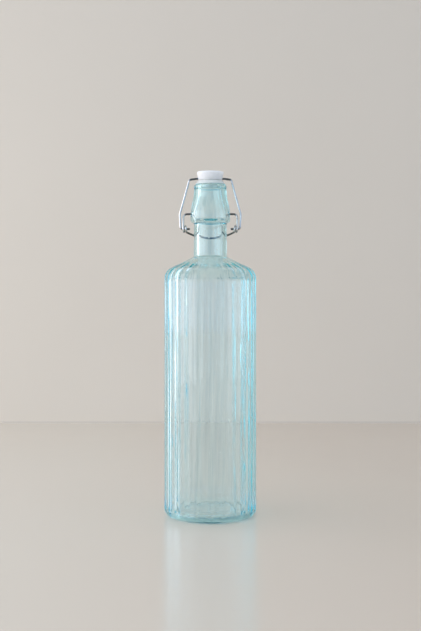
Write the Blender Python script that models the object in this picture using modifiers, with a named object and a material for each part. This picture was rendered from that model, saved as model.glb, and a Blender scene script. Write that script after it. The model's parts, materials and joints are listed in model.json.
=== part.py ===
"""Swing-top glass bottle: a fluted one-litre bottle with a bulb finish, closed by a plastic stopper.

The closure is bent from two wires. The lever wire pivots in two dimples of the bulb and loops into an eye
on each side, and the bail wire hooks into those eyes and carries the stopper on its crossbar. The origin is
the centre of the base on the ground, +Z is up, the front faces -Y, and all sizes are in metres.
"""

import math

import bpy
from mathutils import Matrix, Vector

# Glass, outside
BODY_RADIUS = 0.0410
BODY_WALL_TOP = 0.2095
SHOULDER_BEND = 0.0105
SHOULDER_SLOPE = math.radians(26.0)
NECK_RADIUS = 0.0145
NECK_FOOT_BEND = 0.0026
NECK_LENGTH = 0.0279
BULB_RADIUS = 0.0178
BULB_HEEL_BEND = 0.0036
BULB_BELLY = 0.0015
BULB_TAPER = 0.0248
LIP_RADIUS = 0.0144
LIP_HEIGHT = 0.0044
LIP_EDGE = 0.0011
GROOVE_HEIGHT = 0.0009
GROOVE_DEPTH = 0.0005
HEEL_BEND = 0.0052
FOOT_RING_WIDTH = 0.0015
STEP_RUN = 0.0050
STEP_RISE = 0.0032
PUNT_MIDDLE = 0.0190
PUNT_RISE = 0.0040

# Flutes
FLUTE_COUNT = 22
FLUTE_DEPTH = 0.0009
FLUTE_TOP_RUN = 0.0111
FLUTE_TOP_FADE = 0.0090
FLUTE_FOOT_DROP = 0.0007
FLUTE_FOOT_FADE = 0.0060

# Glass, inside
BODY_WALL = 0.0034
BASE_WALL = 0.0016
CORNER_HEIGHT = 0.0030
INNER_HEEL_BEND = 0.0018
FLOOR_STEP_RADIUS = 0.0310
NECK_WALL = 0.0039
BULB_WALL = 0.0036
BULB_FLOOR_WALL = 0.0036
BORE_RADIUS = 0.0093
BORE_LENGTH = 0.0060
BORE_EDGE = 0.0010

# Lever wire
LEVER_WIRE = 0.0009
PIVOT_HEIGHT = 0.0047
DIMPLE_CLEARANCE = 0.0004
DIMPLE_FLARE = 0.0008
DIMPLE_DEPTH = 0.0017
LEVER_STANDOFF = 0.0062
LEVER_BEND = 0.0034
EYE_DROP = 0.0134
OVER_CENTRE = 0.0018
EYE_BORE_GAP = 0.0006
EYE_TURN_GAP = 0.0004
YOKE_SLOPE = math.radians(14.5)
YOKE_NECK_GAP = 0.0018
YOKE_RUN = 0.0020
YOKE_BEND = 0.0025

# Bail wire
BAIL_WIRE = 0.00095
BAIL_SIDE_GAP = 0.0005
BAIL_BULGE = 0.0008
BAIL_BULGE_HEIGHT = 0.0130
BAIL_LIP_GAP = 0.0042
BAIL_CORNER_DROP = 0.0008
BAIL_STUB_GAP = 0.0036
BAIL_BEND = 0.0020
BAIL_SIDE_BEND = 0.0080
CROSSBAR_OVERHANG = 0.0008

# Stopper and gasket
STOPPER_HEIGHT = 0.0081
STOPPER_FLARE = 0.0014
STOPPER_EDGE = 0.0009
STOPPER_CROWN = 0.0003
STOPPER_INSET = 0.0004
CROSSBAR_HEIGHT = 0.0016
CROSSBAR_CLEARANCE = 0.0002
PLUG_CLEARANCE = 0.0031
PLUG_BEAD = 0.0009
PLUG_BEAD_HEIGHT = 0.0012
PLUG_DEPTH = 0.0028
PLUG_NOSE = 0.0012
GASKET_THICKNESS = 0.0032
GASKET_INSET = 0.0008
GASKET_TAPER = 0.0026
GASKET_EDGE = 0.0003

# Gaps and working allowances
SEAT_GAP = 0.0003
CUT_OVERRUN = 0.0050
MERGE = 0.00001

# How finely curves are divided
FLUTE_STEPS = 3
CAVITY_SIDES = 44
TURNED_SIDES = 32
HOLE_SIDES = 16
ARC_STEPS = 4
FINE_ARC_STEPS = 2
FADE_STEPS = 3
BULB_STEPS = 7
COIL_STEPS_PER_TURN = 14
YOKE_STEPS = 6
WIRE_RESOLUTION = 2

# Heights and places that follow from the sizes above
SHOULDER_ARC_SWEEP = math.pi / 2 - SHOULDER_SLOPE
NECK_FOOT_RADIUS = NECK_RADIUS + NECK_FOOT_BEND * (1.0 - math.sin(SHOULDER_SLOPE))
SHOULDER_ARC_RADIUS = BODY_RADIUS - SHOULDER_BEND * (1.0 - math.sin(SHOULDER_SLOPE))
SHOULDER_ARC_TOP = BODY_WALL_TOP + SHOULDER_BEND * math.cos(SHOULDER_SLOPE)
FLUTE_TOP_RADIUS = SHOULDER_ARC_RADIUS - FLUTE_TOP_RUN
FLUTE_FOOT_HEIGHT = HEEL_BEND - FLUTE_FOOT_DROP
SHOULDER_TOP = SHOULDER_ARC_TOP + (SHOULDER_ARC_RADIUS - NECK_FOOT_RADIUS) * math.tan(SHOULDER_SLOPE)
NECK_START = SHOULDER_TOP + NECK_FOOT_BEND * math.cos(SHOULDER_SLOPE)
BULB_BASE = NECK_START + NECK_LENGTH
BULB_WIDEST = BULB_BASE + BULB_HEEL_BEND
BULB_TOP = BULB_WIDEST + BULB_BELLY + BULB_TAPER
LIP_TOP = BULB_TOP + LIP_HEIGHT
PIVOT_Z = BULB_WIDEST + PIVOT_HEIGHT
EYE_Y = -OVER_CENTRE
EYE_Z = PIVOT_Z - EYE_DROP
GASKET_BOTTOM = LIP_TOP + SEAT_GAP
STOPPER_BOTTOM = GASKET_BOTTOM + GASKET_THICKNESS + SEAT_GAP
CROSSBAR_Z = STOPPER_BOTTOM + CROSSBAR_HEIGHT
GASKET_RADIUS = LIP_RADIUS - GASKET_INSET
STOPPER_BASE_RADIUS = GASKET_RADIUS - GASKET_TAPER - STOPPER_INSET
PLUG_RADIUS = BORE_RADIUS - PLUG_CLEARANCE
STEM_RADIUS = PLUG_RADIUS - PLUG_BEAD
LEVER_REACH = BULB_RADIUS + LEVER_STANDOFF
EYE_RADIUS = BAIL_WIRE + EYE_BORE_GAP + LEVER_WIRE
BAIL_REACH = LEVER_REACH + LEVER_WIRE + BAIL_SIDE_GAP + BAIL_WIRE

GLASS_AQUA = (0.62, 0.84, 0.86)
PLASTIC_WHITE = (0.92, 0.92, 0.94)
SILICONE_CLEAR = (0.86, 0.89, 0.88)
STEEL_BRIGHT = (0.72, 0.72, 0.70)


def arc(centre, radius, start, sweep, steps):
    """Points (r, z) of an arc round centre, from the angle start through sweep, both ends included."""
    angles = [start + sweep * step / steps for step in range(steps + 1)]
    return [(centre[0] + radius * math.cos(a), centre[1] + radius * math.sin(a)) for a in angles]


def bulb_radius(height):
    """Outer radius of the bulb above its widest ring: a half cosine from the belly to the lip."""
    along = (height - BULB_WIDEST - BULB_BELLY) / BULB_TAPER
    share = (1.0 + math.cos(math.pi * min(max(along, 0.0), 1.0))) / 2.0
    return LIP_RADIUS + (BULB_RADIUS - LIP_RADIUS) * share


def bulb_heights():
    """Heights of the rings that draw the bulb's taper, from the lip down to the belly."""
    return [BULB_TOP - BULB_TAPER * step / BULB_STEPS for step in range(BULB_STEPS + 1)]


def finish_profile():
    """Outside of the lip, groove and bulb, from the axis at the lip's top down to the neck."""
    edge_centre = (LIP_RADIUS - LIP_EDGE, LIP_TOP - LIP_EDGE)
    points = [(0.0, LIP_TOP)]
    points += arc(edge_centre, LIP_EDGE, math.pi / 2, -math.pi / 2, FINE_ARC_STEPS)
    points.append((LIP_RADIUS, BULB_TOP + GROOVE_HEIGHT))
    points.append((LIP_RADIUS - GROOVE_DEPTH, BULB_TOP + GROOVE_HEIGHT / 2))
    points += [(bulb_radius(height), height) for height in bulb_heights()]
    heel_centre = (BULB_RADIUS - BULB_HEEL_BEND, BULB_WIDEST)
    reach = min(max((NECK_RADIUS - heel_centre[0]) / BULB_HEEL_BEND, 0.0), 1.0)
    points += arc(heel_centre, BULB_HEEL_BEND, 0.0, -math.acos(reach), ARC_STEPS)
    return points


def shoulder_profile():
    """Outside of the neck's foot, the sloping shoulder and its bend, down to the top of the wall."""
    foot_centre = (NECK_RADIUS + NECK_FOOT_BEND, NECK_START)
    points = arc(foot_centre, NECK_FOOT_BEND, math.pi, SHOULDER_ARC_SWEEP, FINE_ARC_STEPS)
    for step in range(FADE_STEPS + 1):
        radius = FLUTE_TOP_RADIUS + FLUTE_TOP_FADE * step / FADE_STEPS
        height = SHOULDER_ARC_TOP + (SHOULDER_ARC_RADIUS - radius) * math.tan(SHOULDER_SLOPE)
        points.append((radius, height))
    bend_centre = (BODY_RADIUS - SHOULDER_BEND, BODY_WALL_TOP)
    return points + arc(bend_centre, SHOULDER_BEND, SHOULDER_ARC_SWEEP, -SHOULDER_ARC_SWEEP, ARC_STEPS)


def foot_profile():
    """Outside of the heel, the flat foot ring, the step and the punt, ending on the axis."""
    points = []
    for step in range(FADE_STEPS):
        points.append((BODY_RADIUS, HEEL_BEND + FLUTE_FOOT_FADE * (1.0 - step / FADE_STEPS)))
    points += arc((BODY_RADIUS - HEEL_BEND, HEEL_BEND), HEEL_BEND, 0.0, -math.pi / 2, ARC_STEPS)
    ring_inner = BODY_RADIUS - HEEL_BEND - FOOT_RING_WIDTH
    points += [(ring_inner, 0.0), (ring_inner - STEP_RUN, STEP_RISE)]
    return points + [(PUNT_MIDDLE, PUNT_RISE), (0.0, PUNT_RISE)]


def cavity_profile():
    """Inside of the glass, from above the mouth to the floor, for a cutter."""
    edge_centre = (BORE_RADIUS + BORE_EDGE, LIP_TOP - BORE_EDGE)
    mouth_radius = BORE_RADIUS + BORE_EDGE
    points = [(0.0, LIP_TOP + CUT_OVERRUN), (mouth_radius, LIP_TOP + CUT_OVERRUN)]
    points += arc(edge_centre, BORE_EDGE, math.pi / 2, math.pi / 2, FINE_ARC_STEPS)
    points += bulb_cavity_points()
    points += shoulder_cavity_points()
    inner_radius = BODY_RADIUS - BODY_WALL
    floor_step = STEP_RISE + BASE_WALL
    floor_slope = math.atan2(floor_step - CORNER_HEIGHT, inner_radius - FLOOR_STEP_RADIUS)
    rise = INNER_HEEL_BEND * (math.tan(floor_slope) + 1.0 / math.cos(floor_slope))
    heel_centre = (inner_radius - INNER_HEEL_BEND, CORNER_HEIGHT + rise)
    points += arc(heel_centre, INNER_HEEL_BEND, 0.0, -math.pi / 2 - floor_slope, ARC_STEPS)
    points += [(FLOOR_STEP_RADIUS, floor_step), (PUNT_MIDDLE, PUNT_RISE + BASE_WALL)]
    return points + [(0.0, PUNT_RISE + BASE_WALL)]


def bulb_cavity_points():
    """The bulb's hollow: it swells from the bore, then closes in a bowl onto the neck's bore."""
    top = LIP_TOP - BORE_LENGTH
    widest = BULB_WIDEST + BULB_BELLY
    belly_radius = BULB_RADIUS - BULB_WALL
    neck_bore = NECK_RADIUS - NECK_WALL
    points = []
    for step in range(BULB_STEPS + 1):
        share = (1.0 - math.cos(math.pi * step / BULB_STEPS)) / 2.0
        height = top + (widest - top) * step / BULB_STEPS
        points.append((BORE_RADIUS + (belly_radius - BORE_RADIUS) * share, height))
    bowl_rise = widest - BULB_BASE - BULB_FLOOR_WALL / 2
    for step in range(1, ARC_STEPS + 1):
        turn = math.pi / 2 * step / ARC_STEPS
        radius = neck_bore + (belly_radius - neck_bore) * math.cos(turn)
        points.append((radius, widest - bowl_rise * math.sin(turn)))
    return points


def shoulder_cavity_points():
    """Inside of the neck's foot and the shoulder, a wall's thickness under the outside."""
    neck_bore = NECK_RADIUS - NECK_WALL
    inner_bend = SHOULDER_BEND - BODY_WALL
    drop = BODY_WALL / math.cos(SHOULDER_SLOPE)
    foot_bend = NECK_FOOT_BEND + NECK_WALL
    foot_radius = neck_bore + foot_bend * (1.0 - math.sin(SHOULDER_SLOPE))
    slope_height = SHOULDER_ARC_TOP + (SHOULDER_ARC_RADIUS - foot_radius) * math.tan(SHOULDER_SLOPE) - drop
    foot_centre = (neck_bore + foot_bend, slope_height + foot_bend * math.cos(SHOULDER_SLOPE))
    points = arc(foot_centre, foot_bend, math.pi, SHOULDER_ARC_SWEEP, ARC_STEPS)
    bend_centre = (BODY_RADIUS - SHOULDER_BEND, BODY_WALL_TOP)
    return points + arc(bend_centre, inner_bend, SHOULDER_ARC_SWEEP, -SHOULDER_ARC_SWEEP, ARC_STEPS)


def stopper_profile():
    """Cap, stem, bead and nose of the stopper, from the crown down, with heights from the crossbar."""
    bottom = -CROSSBAR_HEIGHT
    top = bottom + STOPPER_HEIGHT
    cap_radius = STOPPER_BASE_RADIUS + STOPPER_FLARE
    bead_top = bottom - SEAT_GAP - GASKET_THICKNESS - SEAT_GAP
    nose = bead_top - PLUG_DEPTH
    points = [(0.0, top)]
    edge_centre = (cap_radius - STOPPER_EDGE, top - STOPPER_CROWN - STOPPER_EDGE)
    points += arc(edge_centre, STOPPER_EDGE, math.pi / 2, -math.pi / 2, FINE_ARC_STEPS)
    points += [(STOPPER_BASE_RADIUS, bottom), (STEM_RADIUS, bottom), (STEM_RADIUS, bead_top)]
    points += [(PLUG_RADIUS, bead_top), (PLUG_RADIUS, bead_top - PLUG_BEAD_HEIGHT)]
    return points + [(PLUG_RADIUS - PLUG_NOSE, nose), (0.0, nose)]


def gasket_profile():
    """Closed section of the washer between the lip and the cap, with heights from the crossbar."""
    top = -CROSSBAR_HEIGHT - SEAT_GAP
    bottom = top - GASKET_THICKNESS
    hole = STEM_RADIUS + SEAT_GAP
    upper = GASKET_RADIUS - GASKET_TAPER
    outer = [(hole, top), (upper - GASKET_EDGE, top), (upper, top - GASKET_EDGE)]
    lower = [(GASKET_RADIUS, bottom + GASKET_EDGE), (GASKET_RADIUS - GASKET_EDGE, bottom), (hole, bottom)]
    return outer + lower


def rounded_path(corners, bends, steps):
    """A wire's centre line through corners, each inner corner bent to its radius in steps chords."""
    points = [corners[0]]
    for before, corner, after, bend in zip(corners, corners[1:], corners[2:], bends):
        back = (before - corner).normalized()
        ahead = (after - corner).normalized()
        half = back.angle(ahead) / 2.0
        middle = corner + (back + ahead).normalized() * bend / math.sin(half)
        start = corner + back * bend / math.tan(half) - middle
        end = corner + ahead * bend / math.tan(half) - middle
        rays = [start.slerp(end, step / steps).normalized() for step in range(steps + 1)]
        points += [middle + bend * ray for ray in rays]
    return points + [corners[-1]]


def eye_coil():
    """The eye's turns in the lever's frame: down the front, round once more and off under the back."""
    distance = math.hypot(OVER_CENTRE, EYE_DROP)
    start = math.atan2(EYE_DROP, OVER_CENTRE) + math.acos(EYE_RADIUS / distance)
    end = 3.5 * math.pi - YOKE_SLOPE
    pitch = 2.0 * LEVER_WIRE + EYE_TURN_GAP
    steps = math.ceil(COIL_STEPS_PER_TURN * (end - start) / math.tau)
    points = []
    for step in range(steps + 1):
        turned = (end - start) * step / steps
        y = -OVER_CENTRE + EYE_RADIUS * math.cos(start + turned)
        z = -EYE_DROP + EYE_RADIUS * math.sin(start + turned)
        points.append(Vector((LEVER_REACH - pitch * turned / math.tau, y, z)))
    return points


def yoke_half(coil_end):
    """From an eye back round the neck to the middle of the yoke, in the yoke's sloping plane."""
    run = Vector((0.0, math.cos(YOKE_SLOPE), -math.sin(YOKE_SLOPE)))
    corner = coil_end + run * YOKE_RUN
    radius = NECK_RADIUS + YOKE_NECK_GAP + LEVER_WIRE
    touch = math.atan2(corner.y, corner.x) + math.acos(radius / math.hypot(corner.x, corner.y))

    def on_plane(angle):
        y = radius * math.sin(angle)
        return Vector((radius * math.cos(angle), y, coil_end.z - (y - coil_end.y) * math.tan(YOKE_SLOPE)))

    leg = rounded_path([coil_end, corner, on_plane(touch)], [YOKE_BEND], ARC_STEPS)
    turns = [touch + (math.pi / 2 - touch) * step / YOKE_STEPS for step in range(1, YOKE_STEPS + 1)]
    return leg[1:] + [on_plane(turn) for turn in turns]


def lever_path():
    """Centre line of the whole lever wire, from the tip in one dimple to the other, about its pivot."""
    tip = Vector((bulb_radius(PIVOT_Z) - DIMPLE_DEPTH + SEAT_GAP, 0.0, 0.0))
    corner = Vector((LEVER_REACH, 0.0, 0.0))
    coil = eye_coil()
    half = rounded_path([tip, corner, coil[0]], [LEVER_BEND], ARC_STEPS)[:-1]
    half += coil + yoke_half(coil[-1])
    return half + mirrored(half)


def bail_path():
    """Centre line of the whole bail wire, from one stub to the other, about the eyes' axis."""
    rise = CROSSBAR_Z - EYE_Z

    def leaning(x, z):
        return Vector((x, OVER_CENTRE * z / rise, z))

    crossbar_end = STOPPER_BASE_RADIUS + STOPPER_FLARE + CROSSBAR_OVERHANG
    corners = [
        Vector((NECK_RADIUS + BAIL_STUB_GAP, 0.0, 0.0)),
        Vector((BAIL_REACH, 0.0, 0.0)),
        leaning(BAIL_REACH + BAIL_BULGE, BAIL_BULGE_HEIGHT),
        leaning(LIP_RADIUS + BAIL_LIP_GAP, rise - BAIL_CORNER_DROP),
        leaning(crossbar_end, rise),
        leaning(0.0, rise),
    ]
    bends = [BAIL_BEND, BAIL_SIDE_BEND, BAIL_BEND, BAIL_BEND]
    half = rounded_path(corners, bends, ARC_STEPS)
    return half + mirrored(half)


def mirrored(half):
    """The other half of a wire that ends on the plane X = 0, back from that end, which isn't repeated."""
    return [Vector((-point.x, point.y, point.z)) for point in reversed(half[:-1])]


def make_material(name, colour, roughness, metallic=0.0, transmission=0.0):
    """A Principled material with a plain colour."""
    material = bpy.data.materials.new(name)
    material.use_nodes = True
    shader = material.node_tree.nodes["Principled BSDF"]
    shader.inputs["Base Color"].default_value = (*colour, 1.0)
    shader.inputs["Roughness"].default_value = roughness
    shader.inputs["Metallic"].default_value = metallic
    shader.inputs["Transmission Weight"].default_value = transmission
    material.diffuse_color = (*colour, 1.0)
    return material


def make_collection(name):
    """A collection under the scene's own."""
    collection = bpy.data.collections.new(name)
    bpy.context.scene.collection.children.link(collection)
    return collection


def make_pivot(name, place, parent, collection):
    """An empty on a joint's axis, at a place given in world coordinates, carried by parent."""
    pivot = bpy.data.objects.new(name, None)
    collection.objects.link(pivot)
    pivot.parent = parent
    pivot.location = place - world_place(parent)
    return pivot


def world_place(pivot):
    """World position of an unturned pivot and the pivots that carry it."""
    place = Vector((0.0, 0.0, 0.0))
    while pivot is not None:
        place += pivot.location
        pivot = pivot.parent
    return place


def turned_object(name, profile, sides, collection, closed=False):
    """A solid of revolution about Z from the profile's points, outer side first, with a live Screw."""
    mesh = bpy.data.meshes.new(name)
    edges = [(index, index + 1) for index in range(len(profile) - 1)]
    if closed:
        edges.append((len(profile) - 1, 0))
    mesh.from_pydata([(radius, 0.0, height) for radius, height in profile], edges, [])
    turned = bpy.data.objects.new(name, mesh)
    collection.objects.link(turned)
    screw = turned.modifiers.new("turn", "SCREW")
    screw.steps = sides
    screw.render_steps = sides
    screw.use_merge_vertices = True
    screw.merge_threshold = MERGE
    screw.use_smooth_shade = True
    return turned


def flute_depth(point):
    """How far a point of the plain turned body is pressed in: nothing on a ridge, all in mid flute."""
    phase = math.atan2(point.x, -point.y) * FLUTE_COUNT / math.tau % 1.0
    across = 1.0 - (2.0 * phase - 1.0) ** 2
    radius = math.hypot(point.x, point.y)
    top_share = (radius - FLUTE_TOP_RADIUS) / FLUTE_TOP_FADE
    foot_share = (point.z - FLUTE_FOOT_HEIGHT) / FLUTE_FOOT_FADE
    fade = min(max(min(top_share, foot_share), 0.0), 1.0)
    return FLUTE_DEPTH * across * fade


def make_glass(collection, cutters):
    """The bottle: a turned solid with pressed flutes, hollowed and dimpled for the lever."""
    outline = finish_profile() + shoulder_profile() + foot_profile()
    blank = turned_object("blank", outline, FLUTE_COUNT * FLUTE_STEPS, cutters)
    graph = bpy.context.evaluated_depsgraph_get()
    mesh = bpy.data.meshes.new_from_object(blank.evaluated_get(graph))
    bpy.data.objects.remove(blank)
    mesh.transform(Matrix.Rotation(-math.pi / 2, 4, "Z"))
    inward = [vertex.normal * -flute_depth(vertex.co) for vertex in mesh.vertices]
    for vertex, shift in zip(mesh.vertices, inward):
        vertex.co += shift
    glass = bpy.data.objects.new("glass_body", mesh)
    collection.objects.link(glass)
    cavity = turned_object("cavity_cutter", cavity_profile(), CAVITY_SIDES, cutters)
    subtract(glass, cavity)
    for side in (-1.0, 1.0):
        subtract(glass, dimple_cutter(side, cutters))
    return glass


def dimple_cutter(side, cutters):
    """A cone lying along X that presses one lever dimple into the bulb."""
    surface = bulb_radius(PIVOT_Z)
    floor_radius = LEVER_WIRE + DIMPLE_CLEARANCE
    length = DIMPLE_DEPTH + CUT_OVERRUN
    middle = side * (surface - DIMPLE_DEPTH + length / 2.0)
    bpy.ops.mesh.primitive_cone_add(
        vertices=HOLE_SIDES,
        radius1=floor_radius,
        radius2=floor_radius + DIMPLE_FLARE * length / DIMPLE_DEPTH,
        depth=length,
        location=(middle, 0.0, PIVOT_Z),
        rotation=(0.0, side * math.pi / 2, 0.0),
    )
    return adopt_cutter("dimple_cutter", cutters)


def adopt_cutter(name, cutters):
    """Names the primitive just added and moves it to the cutters' collection."""
    cutter = bpy.context.object
    cutter.name = name
    for owner in cutter.users_collection:
        owner.objects.unlink(cutter)
    cutters.objects.link(cutter)
    return cutter


def subtract(body, cutter):
    """Cuts the cutter out of the body with a live Boolean and hides the cutter."""
    cutter.hide_render = True
    cutter.display_type = "WIRE"
    boolean = body.modifiers.new("cut", "BOOLEAN")
    boolean.operation = "DIFFERENCE"
    boolean.object = cutter


def make_wire(name, path, radius, pivot, collection):
    """A round wire along a path given in its pivot's frame."""
    curve = bpy.data.curves.new(name, "CURVE")
    curve.dimensions = "3D"
    curve.bevel_depth = radius
    curve.bevel_resolution = WIRE_RESOLUTION
    curve.use_fill_caps = True
    spline = curve.splines.new("POLY")
    spline.points.add(len(path) - 1)
    for point, place in zip(spline.points, path):
        point.co = (*place, 1.0)
    wire = bpy.data.objects.new(name, curve)
    wire.parent = pivot
    collection.objects.link(wire)
    return wire


def make_stopper(pivot, collection, cutters):
    """The stopper about the crossbar's axis, drilled across for the crossbar."""
    stopper = turned_object("stopper", stopper_profile(), TURNED_SIDES, collection)
    stopper.parent = pivot
    length = 2.0 * (STOPPER_BASE_RADIUS + STOPPER_FLARE + CUT_OVERRUN)
    bpy.ops.mesh.primitive_cylinder_add(
        vertices=HOLE_SIDES,
        radius=BAIL_WIRE + CROSSBAR_CLEARANCE,
        depth=length,
        rotation=(0.0, math.pi / 2, 0.0),
    )
    drill = adopt_cutter("crossbar_cutter", cutters)
    drill.parent = pivot
    subtract(stopper, drill)
    return stopper


def make_gasket(pivot, collection):
    """The sealing washer round the stopper's stem."""
    gasket = turned_object("gasket", gasket_profile(), TURNED_SIDES, collection, closed=True)
    gasket.parent = pivot
    return gasket


def main():
    """Builds the bottle, its two wires, the stopper and the gasket."""
    for leftover in list(bpy.data.objects):
        bpy.data.objects.remove(leftover)
    parts = make_collection("swing_top_bottle")
    cutters = make_collection("cutters")
    lever_pivot = make_pivot("lever_pivot", Vector((0.0, 0.0, PIVOT_Z)), None, parts)
    bail_pivot = make_pivot("bail_pivot", Vector((0.0, EYE_Y, EYE_Z)), lever_pivot, parts)
    stopper_pivot = make_pivot("stopper_pivot", Vector((0.0, 0.0, CROSSBAR_Z)), bail_pivot, parts)
    steel = make_material("bright_steel", STEEL_BRIGHT, 0.22, metallic=1.0)
    pieces = [
        (make_glass(parts, cutters), make_material("aqua_glass", GLASS_AQUA, 0.04, transmission=0.9)),
        (make_wire("lever_wire", lever_path(), LEVER_WIRE, lever_pivot, parts), steel),
        (make_wire("bail_wire", bail_path(), BAIL_WIRE, bail_pivot, parts), steel),
        (make_stopper(stopper_pivot, parts, cutters), make_material("white_plastic", PLASTIC_WHITE, 0.35)),
        (make_gasket(stopper_pivot, parts), make_material("clear_silicone", SILICONE_CLEAR, 0.5)),
    ]
    for piece, material in pieces:
        piece.data.materials.clear()
        piece.data.materials.append(material)


main()
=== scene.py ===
"""Looks of the swing-top glass bottle: fluted aqua glass, two steel wires, a plastic stopper and its washer.

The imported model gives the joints' places and the glass's box. Each piece here replaces its plain node with
a fine surface of the same size and rides on the same body. Lengths are in metres, +Z is up, and the front
of the bottle faces -Y.
"""

import json
import logging
import math
from dataclasses import dataclass
from enum import Enum
from typing import Optional, Sequence, Union

import bpy
import numpy as np
from bpy.types import ID, Material, Mesh, Node, NodeTree, Object
from bpy.types import NodeSocket as Socket
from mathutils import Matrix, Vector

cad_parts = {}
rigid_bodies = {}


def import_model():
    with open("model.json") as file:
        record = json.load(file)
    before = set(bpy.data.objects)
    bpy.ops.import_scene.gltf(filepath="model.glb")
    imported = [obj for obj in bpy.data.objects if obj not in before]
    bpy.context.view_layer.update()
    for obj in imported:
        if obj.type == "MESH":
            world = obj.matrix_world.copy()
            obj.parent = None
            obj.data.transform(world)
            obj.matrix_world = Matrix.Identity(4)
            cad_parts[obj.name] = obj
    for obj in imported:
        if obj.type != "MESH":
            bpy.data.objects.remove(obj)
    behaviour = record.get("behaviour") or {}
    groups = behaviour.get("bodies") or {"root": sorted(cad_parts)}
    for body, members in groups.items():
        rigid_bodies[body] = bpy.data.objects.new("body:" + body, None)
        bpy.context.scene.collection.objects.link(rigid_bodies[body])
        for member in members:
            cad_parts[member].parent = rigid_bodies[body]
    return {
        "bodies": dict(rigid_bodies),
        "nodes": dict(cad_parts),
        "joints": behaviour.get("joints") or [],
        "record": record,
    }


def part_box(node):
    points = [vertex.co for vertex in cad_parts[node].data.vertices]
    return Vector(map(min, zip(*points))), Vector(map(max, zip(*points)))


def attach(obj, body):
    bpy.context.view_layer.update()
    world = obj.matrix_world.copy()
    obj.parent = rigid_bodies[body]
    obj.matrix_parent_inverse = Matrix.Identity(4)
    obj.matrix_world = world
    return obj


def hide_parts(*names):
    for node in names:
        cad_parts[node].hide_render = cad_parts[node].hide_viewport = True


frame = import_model()

LOG = logging.getLogger("bottle")
WIRE_PLACE = "wire_place"
WIRE_LEVEL_SHADE = "wire_wear"
MM = 0.001
TAU = 2.0 * math.pi

Points = np.ndarray
Value = Union[float, Sequence[float], Socket]


class Body(Enum):
    """The bodies that pieces ride on."""

    BOTTLE = "bottle"
    LEVER = "lever"
    BAIL = "bail"
    STOPPER = "stopper"


class Slot(Enum):
    """The record's material slots."""

    GLASS = "aqua_glass"
    STEEL = "bright_steel"
    PLASTIC = "white_plastic"
    SILICONE = "clear_silicone"


def arc(centre: Sequence[float], radius: float, start: float, end: float, steps: int) -> Points:
    """Points (r, z) of an arc: centre plus radius times (cos, sin) of angles even from start to end.

    Args:
        centre: The arc's centre (r, z).
        radius: Its radius.
        start: The first angle, from +r towards +z.
        end: The last angle.
        steps: Chords between the two.

    Returns:
        An array of steps + 1 points.
    """
    angles = np.linspace(start, end, steps + 1)
    return np.column_stack([centre[0] + radius * np.cos(angles), centre[1] + radius * np.sin(angles)])


def straight(start: Sequence[float], end: Sequence[float], steps: int) -> Points:
    """Even points from start to end.

    Args:
        start: The first point.
        end: The last point.
        steps: Chords between the two.

    Returns:
        An array of steps + 1 points.
    """
    return np.linspace(np.asarray(start, float), np.asarray(end, float), steps + 1)


def chain(*runs: Points) -> Points:
    """Joins runs of points end to end and drops a point that repeats the one before it.

    Args:
        runs: The runs in order.

    Returns:
        One run.
    """
    points = np.concatenate(runs)
    gaps = np.linalg.norm(np.diff(points, axis=0), axis=1)
    return points[np.concatenate([[True], gaps > 0.001 * MM])]


def unit(vectors: Points) -> Points:
    """The vectors scaled to length 1 along the last axis."""
    return vectors / np.linalg.norm(vectors, axis=-1, keepdims=True)


def smooth_step(values: Points) -> Points:
    """Values clipped to 0..1 and eased at both ends: 3v^2 - 2v^3."""
    clipped = np.clip(values, 0.0, 1.0)
    return clipped * clipped * (3.0 - 2.0 * clipped)


def rounded(corners: Sequence[Sequence[float]], bends: Sequence[float], steps: int) -> Points:
    """A path through corners, with each inner corner bent to an arc that touches both of its legs.

    Args:
        corners: The corner points, in two or three dimensions.
        bends: A radius for each inner corner.
        steps: Chords in each bend.

    Returns:
        The path's points.
    """
    places = np.asarray(corners, float)
    runs = [places[:1]]
    for before, corner, after, bend in zip(places, places[1:], places[2:], bends):
        back, ahead = unit(before - corner), unit(after - corner)
        half = math.acos(float(np.clip(back @ ahead, -1.0, 1.0))) / 2.0
        middle = corner + unit(back + ahead) * bend / math.sin(half)
        first = unit(corner + back * bend / math.tan(half) - middle)
        last = unit(corner + ahead * bend / math.tan(half) - middle)
        sweep = math.pi - 2.0 * half
        share = np.linspace(0.0, 1.0, steps + 1)[:, None]
        rays = (np.sin((1.0 - share) * sweep) * first + np.sin(share * sweep) * last) / math.sin(sweep)
        runs.append(middle + bend * rays)
    return chain(*runs, places[-1:])


def split_long(points: Points, longest: float) -> Points:
    """Adds even points to each leg of a path that is longer than longest.

    Args:
        points: The path.
        longest: The longest leg to leave whole.

    Returns:
        The path with its long legs divided.
    """
    runs = []
    for start, end in zip(points, points[1:]):
        steps = max(1, math.ceil(float(np.linalg.norm(end - start)) / longest))
        runs.append(straight(start, end, steps))
    return chain(*runs)


def outward(profile: Points) -> Points:
    """Unit normals (r, z) of a profile that runs up its outer side, from its chords' directions."""
    along = unit(np.gradient(profile, axis=0))
    return np.column_stack([along[:, 1], -along[:, 0]])


def turned(profile: Points, angles: Points) -> Points:
    """Rings of a turned surface: x = r sin(angle), y = -r cos(angle), z = height.

    Args:
        profile: Points (r, z), or an array (rows, angles, 2) where the section changes with the angle.
        angles: The angle of each column from the front, -Y, towards +X.

    Returns:
        An array (rows, angles, 3).
    """
    grid = profile if profile.ndim == 3 else np.repeat(profile[:, None, :], len(angles), axis=1)
    radius, height = grid[..., 0], grid[..., 1]
    return np.stack([radius * np.sin(angles), -radius * np.cos(angles), height], axis=-1)


def all_round(count: int) -> Points:
    """Even angles for a number of columns all the way round."""
    return np.linspace(0.0, TAU, count, endpoint=False)


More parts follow.
